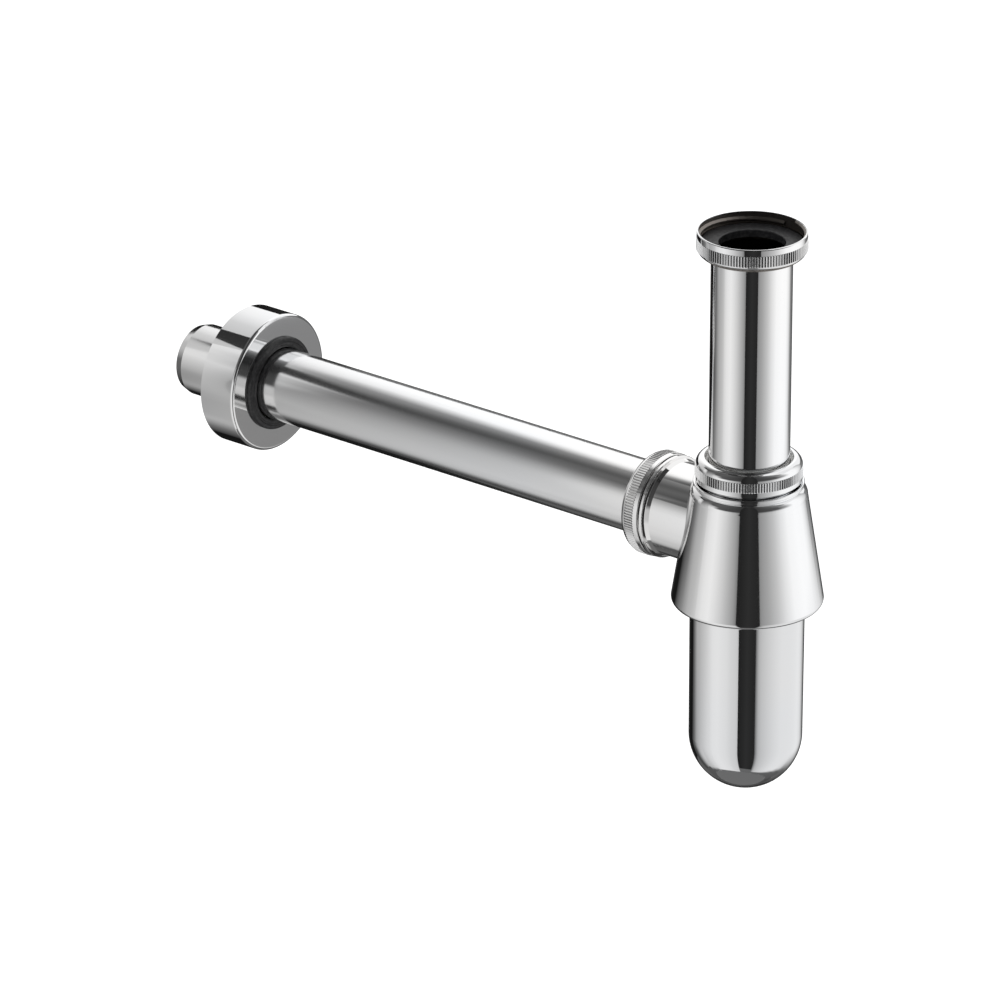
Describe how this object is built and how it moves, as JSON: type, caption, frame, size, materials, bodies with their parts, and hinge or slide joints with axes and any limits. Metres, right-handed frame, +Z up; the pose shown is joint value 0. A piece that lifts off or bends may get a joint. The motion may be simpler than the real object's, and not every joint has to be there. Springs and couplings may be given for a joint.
{
  "type": "bottle trap",
  "caption": "Chrome basin bottle trap: inlet tube with knurled union nut, conical body over a round-bottomed bottle, and a straight outlet pipe with wall flange.",
  "frame": {"origin": "centre of the lower end of the union nut's thread, just above the washer that the basin waste lands on, on the inlet tube's axis", "axes": "+Z up along the inlet tube, +Y along the outlet pipe towards the wall"},
  "size_m": [0.0604, 0.3162, 0.2355],
  "materials": {
    "chrome": "polished chrome plate on brass",
    "rubber": "matte black rubber",
    "slip_plastic": "white slip ring"
  },
  "bodies": {
    "inlet": {"inlet_tube": "chrome", "inlet_washer": "rubber"},
    "union_nut": {"inlet_union_nut": "chrome"},
    "neck_seal": {"neck_seal": "rubber"},
    "trap_body": {"trap_body": "chrome", "outlet_seal": "rubber"},
    "neck_slip_ring": {"neck_slip_ring": "slip_plastic"},
    "neck_nut": {"neck_nut": "chrome"},
    "outlet_slip_ring": {"outlet_slip_ring": "slip_plastic"},
    "outlet_nut": {"outlet_nut": "chrome"},
    "outlet_pipe": {"outlet_pipe": "chrome"},
    "flange_seal": {"flange_seal": "rubber"},
    "wall_flange": {"wall_flange": "chrome"},
    "bottle_gasket": {"bottle_gasket": "rubber"},
    "bottle_cup": {"bottle_cup": "chrome"}
  },
  "joints": [
    {"name": "union_nut_spin", "type": "hinge", "parent": "inlet", "child": "union_nut", "pos_m": [0, 0, 0], "axis": [0, 0, 1], "continuous": true},
    {"name": "height_slide", "type": "slide", "parent": "inlet", "child": "neck_seal", "axis": [0, 0, 1], "range_m": [-0.02, 0.03]},
    {"name": "trap_swivel", "type": "hinge", "parent": "neck_seal", "child": "trap_body", "pos_m": [0, 0, -0.1], "axis": [0, 0, 1], "continuous": true},
    {"name": "neck_nut_rise", "type": "slide", "parent": "trap_body", "child": "neck_slip_ring", "axis": [0, 0, 1], "range_m": [0, 0.0051]},
    {"name": "neck_nut_turn", "type": "hinge", "parent": "neck_slip_ring", "child": "neck_nut", "pos_m": [0, 0, -0.095], "axis": [0, 0, 1], "range_deg": [0, 1200]},
    {"name": "outlet_nut_back", "type": "slide", "parent": "trap_body", "child": "outlet_slip_ring", "axis": [0, 1, 0], "range_m": [0, 0.0051]},
    {"name": "outlet_nut_turn", "type": "hinge", "parent": "outlet_slip_ring", "child": "outlet_nut", "pos_m": [0, 0.044, -0.1215], "axis": [0, 1, 0], "range_deg": [0, 1200]},
    {"name": "outlet_pipe_slide", "type": "slide", "parent": "trap_body", "child": "outlet_pipe", "axis": [0, 1, 0], "range_m": [-0.006, 0.012]},
    {"name": "flange_slide", "type": "slide", "parent": "outlet_pipe", "child": "flange_seal", "axis": [0, 1, 0], "range_m": [-0.178, 0.02]},
    {"name": "flange_spin", "type": "hinge", "parent": "flange_seal", "child": "wall_flange", "pos_m": [0, 0.25, -0.1215], "axis": [0, 1, 0], "continuous": true},
    {"name": "bottle_drop", "type": "slide", "parent": "trap_body", "child": "bottle_gasket", "axis": [0, 0, -1], "range_m": [0, 0.0091]},
    {"name": "bottle_turn", "type": "hinge", "parent": "bottle_gasket", "child": "bottle_cup", "pos_m": [0, 0, -0.15], "axis": [0, 0, -1], "range_deg": [0, 1620]}
  ],
  "couplings": [
    {"joint": "neck_nut_rise", "follows": "neck_nut_turn", "m_per_rad": 0.00023873},
    {"joint": "outlet_nut_back", "follows": "outlet_nut_turn", "m_per_rad": 0.00023873},
    {"joint": "bottle_drop", "follows": "bottle_turn", "m_per_rad": 0.00031831}
  ]
}
